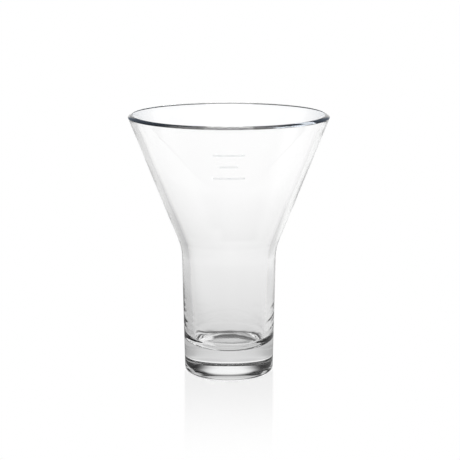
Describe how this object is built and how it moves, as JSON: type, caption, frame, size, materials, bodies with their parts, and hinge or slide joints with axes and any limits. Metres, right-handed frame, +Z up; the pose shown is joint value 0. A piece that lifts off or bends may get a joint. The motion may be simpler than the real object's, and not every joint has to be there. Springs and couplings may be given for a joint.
{
  "type": "cortado glass",
  "caption": "Clear drinking glass with a wide conical bowl, a narrow straight lower cup and a heavy solid base, marked with plain fill lines, for a small milk coffee.",
  "frame": {"origin": "middle of the foot ring, on the surface that the glass stands on", "axes": "+Z up along the glass's axis of revolution, fill lines at the front towards -Y"},
  "size_m": [0.0794, 0.0794, 0.1055],
  "materials": {
    "clear_glass": "fire polished",
    "white_enamel": "fired ink, satin"
  },
  "bodies": {
    "root": {"glass": "clear_glass", "fill_lines": "white_enamel"}
  },
  "joints": []
}
